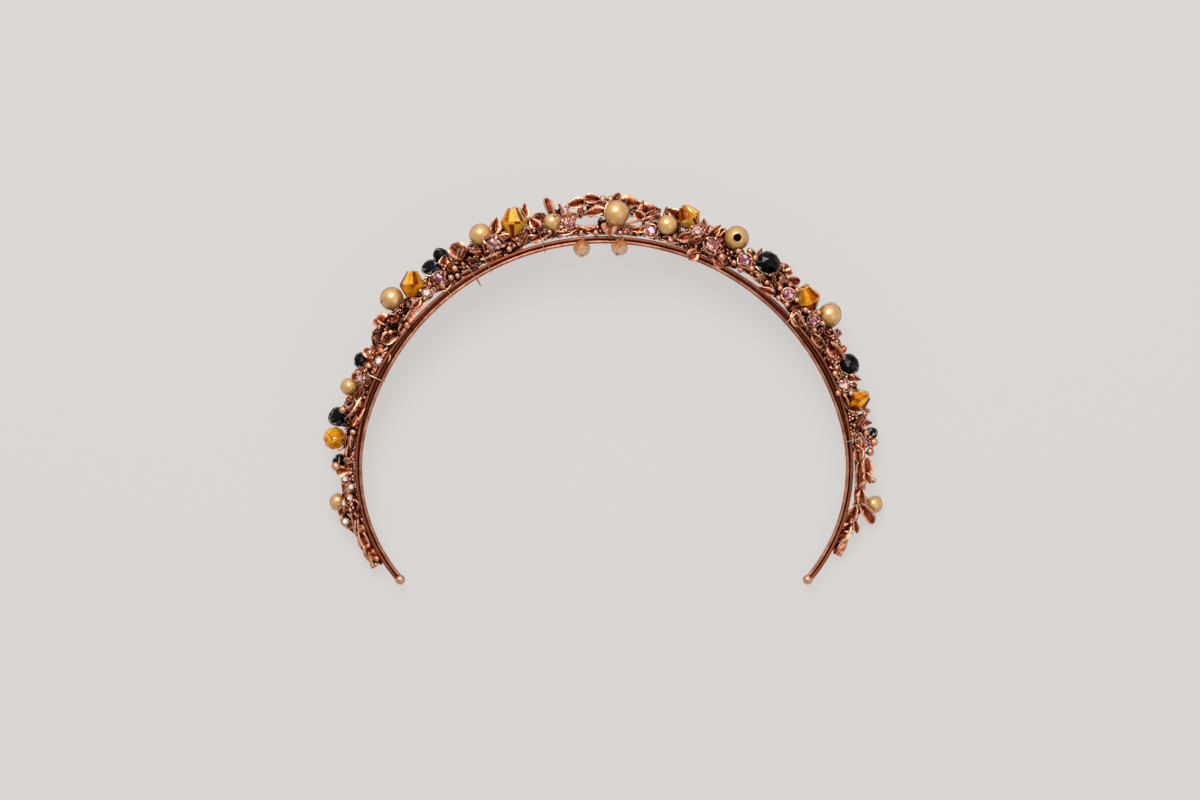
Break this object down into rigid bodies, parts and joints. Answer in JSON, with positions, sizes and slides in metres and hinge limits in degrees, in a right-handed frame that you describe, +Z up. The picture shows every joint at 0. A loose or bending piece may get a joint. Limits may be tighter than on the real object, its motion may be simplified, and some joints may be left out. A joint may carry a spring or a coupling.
{
  "type": "tiara",
  "caption": "Slim arched tiara: a double wire band with a vine of antique copper leaves, gold pearls, amber and black glass beads and pink rhinestones.",
  "frame": {"origin": "middle of the arch, on the surface that the tiara rests on", "axes": "+Y towards the raised crest, +X to the picture's right, +Z up from the surface; the ends of the band point to -Y"},
  "size_m": [0.1524, 0.1075, 0.0207],
  "materials": {
    "band_copper": "antique copper wire, satin",
    "antique_copper": "antique copper casting, darkened in the hollows and rubbed bright on the rims",
    "gold_pearl": "pearlescent gold",
    "amber_glass": "cut and polished",
    "black_glass": "cut and polished, opaque",
    "champagne_glass": "cut and polished",
    "pink_stone": "cut, backed with foil",
    "peach_stone": "cut, backed with foil",
    "clear_stone": "cut, backed with foil",
    "gilt_wire": "bright gilt"
  },
  "bodies": {
    "root": {"band": "band_copper", "vine_left": "antique_copper", "vine_crest": "antique_copper", "vine_right": "antique_copper", "pearl_1": "gold_pearl", "pearl_2": "gold_pearl", "pearl_3": "gold_pearl", "pearl_4": "gold_pearl", "pearl_5": "gold_pearl", "pearl_6": "gold_pearl", "pearl_7": "gold_pearl", "pearl_8": "gold_pearl", "pearl_9": "gold_pearl", "pearl_10": "gold_pearl", "amber_1": "amber_glass", "amber_2": "amber_glass", "amber_3": "amber_glass", "amber_4": "amber_glass", "amber_5": "amber_glass", "amber_6": "amber_glass", "black_1": "black_glass", "black_2": "black_glass", "black_3": "black_glass", "black_4": "black_glass", "black_5": "black_glass", "black_6": "black_glass", "black_7": "black_glass", "black_8": "black_glass", "champagne_1": "champagne_glass", "champagne_2": "champagne_glass", "stone_1": "pink_stone", "stone_2": "pink_stone", "stone_3": "pink_stone", "stone_4": "peach_stone", "stone_5": "pink_stone", "stone_6": "pink_stone", "stone_7": "peach_stone", "stone_8": "peach_stone", "stone_9": "pink_stone", "stone_10": "pink_stone", "stone_11": "pink_stone", "stone_12": "pink_stone", "stone_13": "peach_stone", "stone_14": "pink_stone", "clear_stones": "clear_stone", "wire_left": "gilt_wire", "wire_crest": "gilt_wire", "wire_right": "gilt_wire"}
  },
  "joints": []
}
